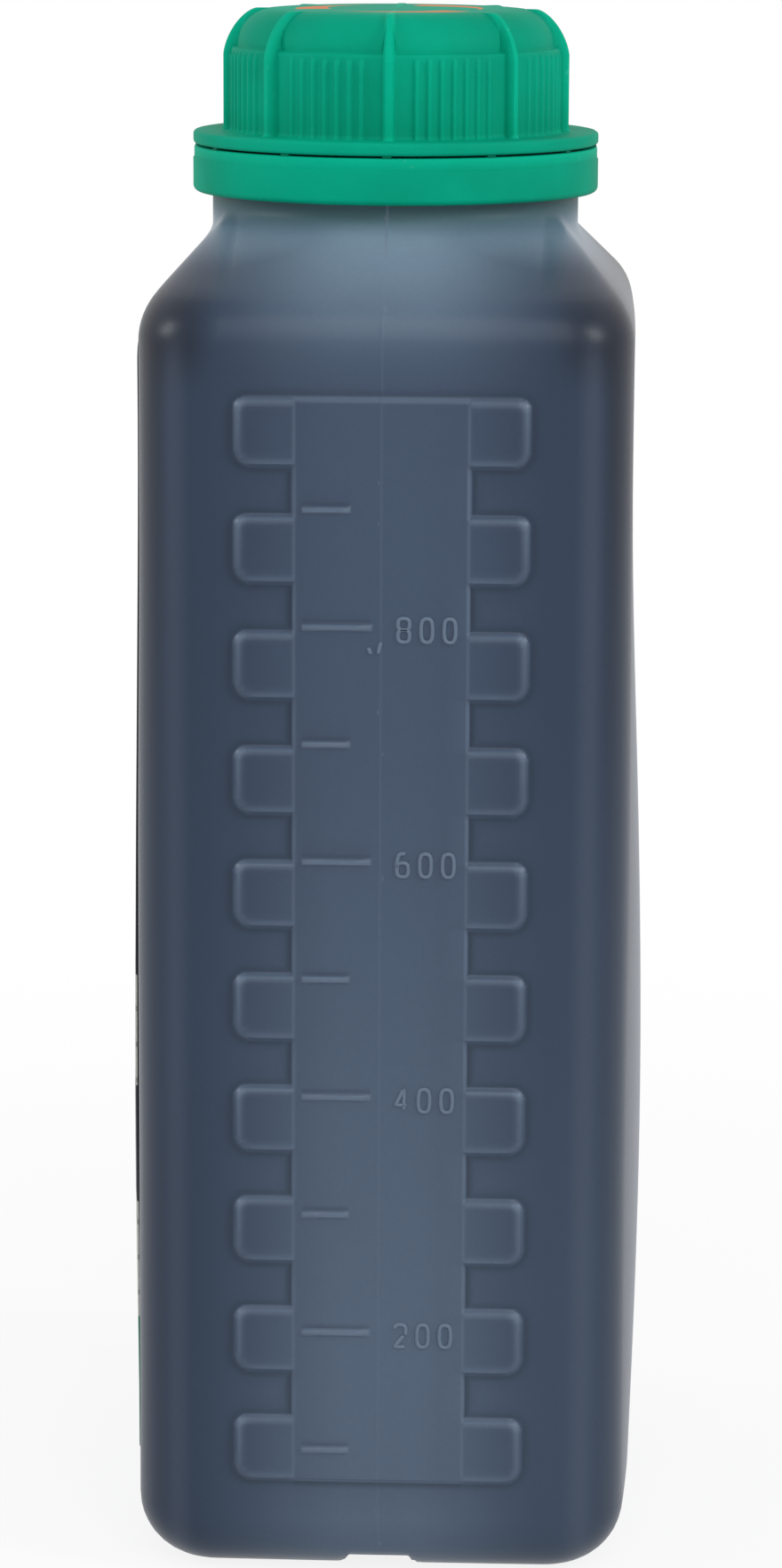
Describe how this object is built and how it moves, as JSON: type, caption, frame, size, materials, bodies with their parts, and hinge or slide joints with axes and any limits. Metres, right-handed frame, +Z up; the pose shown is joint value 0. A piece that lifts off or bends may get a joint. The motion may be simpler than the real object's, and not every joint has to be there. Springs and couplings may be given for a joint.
{
  "type": "screw-cap oil bottle",
  "caption": "Translucent plastic oil bottle, nearly square, with a graduated ladder face, hipped shoulder, side label, ribbed screw cap, sealing wad and tamper-evident ring",
  "frame": {"origin": "the standing plane under the axis of the neck, at the centre of the base", "axes": "+X across the label faces, away from the side label; +Y from the graduated face to the back; +Z up along the neck"},
  "size_m": [0.0773, 0.0841, 0.23],
  "materials": {
    "bottle_wall": "satin translucent polyethylene, dark with oil behind it",
    "label_film": "satin printed film",
    "oil": "clear dark oil",
    "cap_plastic": "satin green polypropylene",
    "liner_foam": "matt white foam"
  },
  "bodies": {
    "bottle": {"bottle_body": "bottle_wall", "side_label": "label_film", "oil_fill": "oil"},
    "tamper_band": {"tamper_ring": "cap_plastic", "tamper_bridges": "cap_plastic"},
    "liner": {"cap_liner": "liner_foam"},
    "cap": {"screw_cap": "cap_plastic"}
  },
  "joints": [
    {"name": "cap_lift", "type": "slide", "parent": "bottle", "child": "liner", "axis": [0, 0, 1], "range_m": [0, 0.018]},
    {"name": "cap_turn", "type": "hinge", "parent": "liner", "child": "cap", "pos_m": [0, 0, 0.23], "axis": [0, 0, 1], "range_deg": [0, 1080]},
    {"name": "band_turn", "type": "hinge", "parent": "bottle", "child": "tamper_band", "pos_m": [0, 0, 0.2032], "axis": [0, 0, 1], "continuous": true}
  ],
  "couplings": [
    {"joint": "cap_lift", "follows": "cap_turn", "m_per_rad": 0.00095493}
  ]
}
